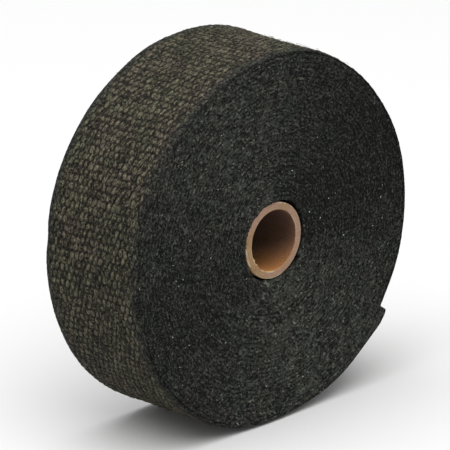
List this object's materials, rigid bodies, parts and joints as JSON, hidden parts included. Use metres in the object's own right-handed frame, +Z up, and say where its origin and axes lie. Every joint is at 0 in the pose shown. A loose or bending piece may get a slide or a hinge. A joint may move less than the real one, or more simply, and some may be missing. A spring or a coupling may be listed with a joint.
{
  "type": "exhaust heat wrap roll",
  "caption": "Roll of dark woven heat wrap tape wound on an open cardboard core tube, standing on its tread with the tape's cut end slightly loose.",
  "frame": {"origin": "on the floor, below the middle of the roll", "axes": "+Y along the roll's axis away from the end shown in the picture, +Z up"},
  "size_m": [0.1548, 0.0508, 0.1549],
  "materials": {
    "woven_tape": "coarse plain-woven glass fibre with a dull graphite-black dressing, slightly frayed at its edges",
    "core_board": "spirally wound brown paperboard, matt, with its plies showing at the cut ends"
  },
  "bodies": {
    "root": {"wrap_roll": "woven_tape", "core_tube": "core_board"}
  },
  "joints": []
}
